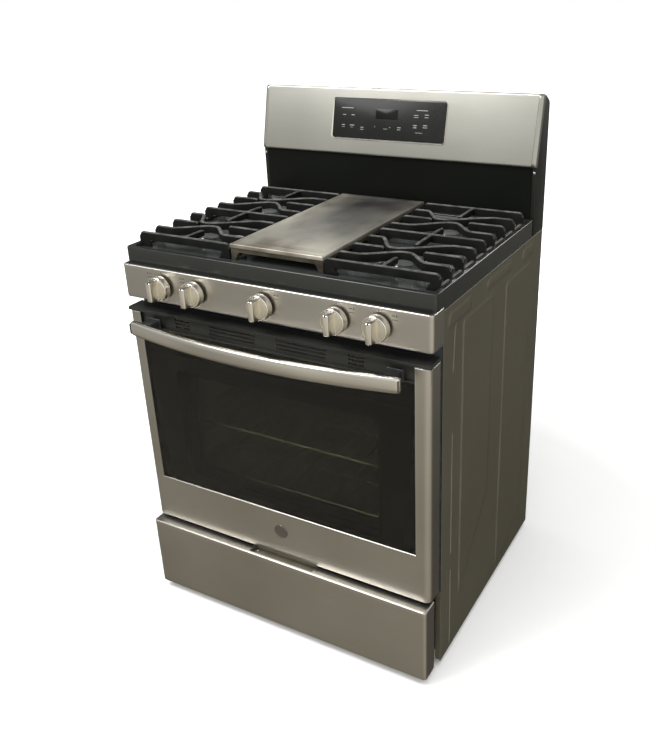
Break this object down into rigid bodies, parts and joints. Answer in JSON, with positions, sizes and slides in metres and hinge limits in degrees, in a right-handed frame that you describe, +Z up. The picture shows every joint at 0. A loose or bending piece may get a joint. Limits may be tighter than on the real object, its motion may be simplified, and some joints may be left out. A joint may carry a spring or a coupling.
{
  "type": "freestanding gas range",
  "caption": "Freestanding gas range with a bowed oven door handle, front knobs, cast grates, a centre griddle, a leaning console and a storage drawer.",
  "frame": {"origin": "on the floor, at the middle of the whole object's width and depth", "axes": "+Z up, +X to the right of a person facing the range, -Y out of the oven door towards that person"},
  "size_m": [0.759, 0.731, 1.195],
  "materials": {
    "stainless": "fine horizontal brushing, satin",
    "side_paint": "dark grey baked paint, low sheen",
    "black_enamel": "gloss black porcelain enamel",
    "oven_enamel": "speckled dark oven enamel",
    "black_glass": "dark printed glass, gloss",
    "clear_glass": "clear tempered glass",
    "cast_iron": "matte enamelled cast iron",
    "aluminium": "cast, matte",
    "brass": "machined",
    "zinc_steel": "zinc plated steel",
    "rack_chrome": "chrome plated wire",
    "knob_metal": "satin metal, bright rim",
    "black_plastic": "moulded, fine grain",
    "glass_wool": "woven glass fibre",
    "lamp_glass": "clear lamp cover",
    "ceramic": "white ceramic"
  },
  "bodies": {
    "root": {"control_panel": "stainless", "console_panel": "stainless", "side_panel_left": "side_paint", "side_panel_right": "side_paint", "cooktop": "black_enamel", "backguard": "black_enamel", "front_frame": "oven_enamel", "oven_cavity": "oven_enamel", "oven_floor": "oven_enamel", "display_glass": "black_glass", "burner_caps": "cast_iron", "burner_heads": "aluminium", "burner_tubes": "aluminium", "gas_valves": "brass", "base_frame": "zinc_steel", "rear_panel": "zinc_steel", "drawer_runners": "zinc_steel", "hinge_arms": "zinc_steel", "manifold_pipe": "zinc_steel", "pressure_regulator": "zinc_steel", "screws": "zinc_steel", "bake_burner": "zinc_steel", "broil_burner": "zinc_steel", "temperature_sensor": "zinc_steel", "console_end_caps": "black_plastic", "levelling_legs": "black_plastic", "cord_gland": "black_plastic", "spark_module": "black_plastic", "control_board": "black_plastic", "insulation": "glass_wool", "oven_lamp": "lamp_glass", "igniters": "ceramic"},
    "door": {"door_skin": "stainless", "door_glass_outer": "black_glass", "door_glass_inner": "clear_glass", "door_liner": "oven_enamel", "door_seal": "glass_wool", "door_top_trim": "black_enamel", "handle_bar": "stainless", "handle_brackets": "black_plastic", "badge": "stainless", "hinge_cheeks": "zinc_steel"},
    "drawer": {"drawer_front": "stainless", "drawer_box": "zinc_steel", "drawer_slides": "zinc_steel"},
    "left_grate": {"grate_left": "cast_iron"},
    "right_grate": {"grate_right": "cast_iron"},
    "centre_griddle": {"griddle": "cast_iron"},
    "lower_rack": {"oven_rack_lower": "rack_chrome"},
    "upper_rack": {"oven_rack_upper": "rack_chrome"},
    "stem_1": {"valve_stem_1": "zinc_steel"},
    "knob_1": {"knob_1": "knob_metal"},
    "stem_2": {"valve_stem_2": "zinc_steel"},
    "knob_2": {"knob_2": "knob_metal"},
    "stem_3": {"valve_stem_3": "zinc_steel"},
    "knob_3": {"knob_3": "knob_metal"},
    "stem_4": {"valve_stem_4": "zinc_steel"},
    "knob_4": {"knob_4": "knob_metal"},
    "stem_5": {"valve_stem_5": "zinc_steel"},
    "knob_5": {"knob_5": "knob_metal"}
  },
  "joints": [
    {"name": "door_hinge", "type": "hinge", "parent": "root", "child": "door", "pos_m": [0, -0.2635, 0.238], "axis": [1, 0, 0], "range_deg": [0, 88], "stiffness_Nm_per_rad": 9, "springref_deg": -20.05},
    {"name": "drawer_slide", "type": "slide", "parent": "root", "child": "drawer", "axis": [0, -1, 0], "range_m": [-0.022, 0.36]},
    {"name": "knob_1_push", "type": "slide", "parent": "root", "child": "stem_1", "axis": [0, 1, 0], "range_m": [0, 0.003], "stiffness_N_per_m": 900},
    {"name": "knob_1_turn", "type": "hinge", "parent": "stem_1", "child": "knob_1", "pos_m": [-0.267, -0.2915, 0.84], "axis": [0, -1, 0], "range_deg": [0, 240]},
    {"name": "knob_2_push", "type": "slide", "parent": "root", "child": "stem_2", "axis": [0, 1, 0], "range_m": [0, 0.003], "stiffness_N_per_m": 900},
    {"name": "knob_2_turn", "type": "hinge", "parent": "stem_2", "child": "knob_2", "pos_m": [-0.175, -0.2915, 0.84], "axis": [0, -1, 0], "range_deg": [0, 240]},
    {"name": "knob_3_push", "type": "slide", "parent": "root", "child": "stem_3", "axis": [0, 1, 0], "range_m": [0, 0.003], "stiffness_N_per_m": 900},
    {"name": "knob_3_turn", "type": "hinge", "parent": "stem_3", "child": "knob_3", "pos_m": [0, -0.2915, 0.84], "axis": [0, -1, 0], "range_deg": [0, 240]},
    {"name": "knob_4_push", "type": "slide", "parent": "root", "child": "stem_4", "axis": [0, 1, 0], "range_m": [0, 0.003], "stiffness_N_per_m": 900},
    {"name": "knob_4_turn", "type": "hinge", "parent": "stem_4", "child": "knob_4", "pos_m": [0.175, -0.2915, 0.84], "axis": [0, -1, 0], "range_deg": [0, 240]},
    {"name": "knob_5_push", "type": "slide", "parent": "root", "child": "stem_5", "axis": [0, 1, 0], "range_m": [0, 0.003], "stiffness_N_per_m": 900},
    {"name": "knob_5_turn", "type": "hinge", "parent": "stem_5", "child": "knob_5", "pos_m": [0.267, -0.2915, 0.84], "axis": [0, -1, 0], "range_deg": [0, 240]},
    {"name": "left_grate_lift", "type": "slide", "parent": "root", "child": "left_grate", "axis": [0, 0, 1], "range_m": [0, 0.1]},
    {"name": "right_grate_lift", "type": "slide", "parent": "root", "child": "right_grate", "axis": [0, 0, 1], "range_m": [0, 0.1]},
    {"name": "griddle_lift", "type": "slide", "parent": "root", "child": "centre_griddle", "axis": [0, 0, 1], "range_m": [0, 0.1]},
    {"name": "lower_rack_slide", "type": "slide", "parent": "root", "child": "lower_rack", "axis": [0, -1, 0], "range_m": [0, 0.025]},
    {"name": "upper_rack_slide", "type": "slide", "parent": "root", "child": "upper_rack", "axis": [0, -1, 0], "range_m": [0, 0.025]}
  ]
}
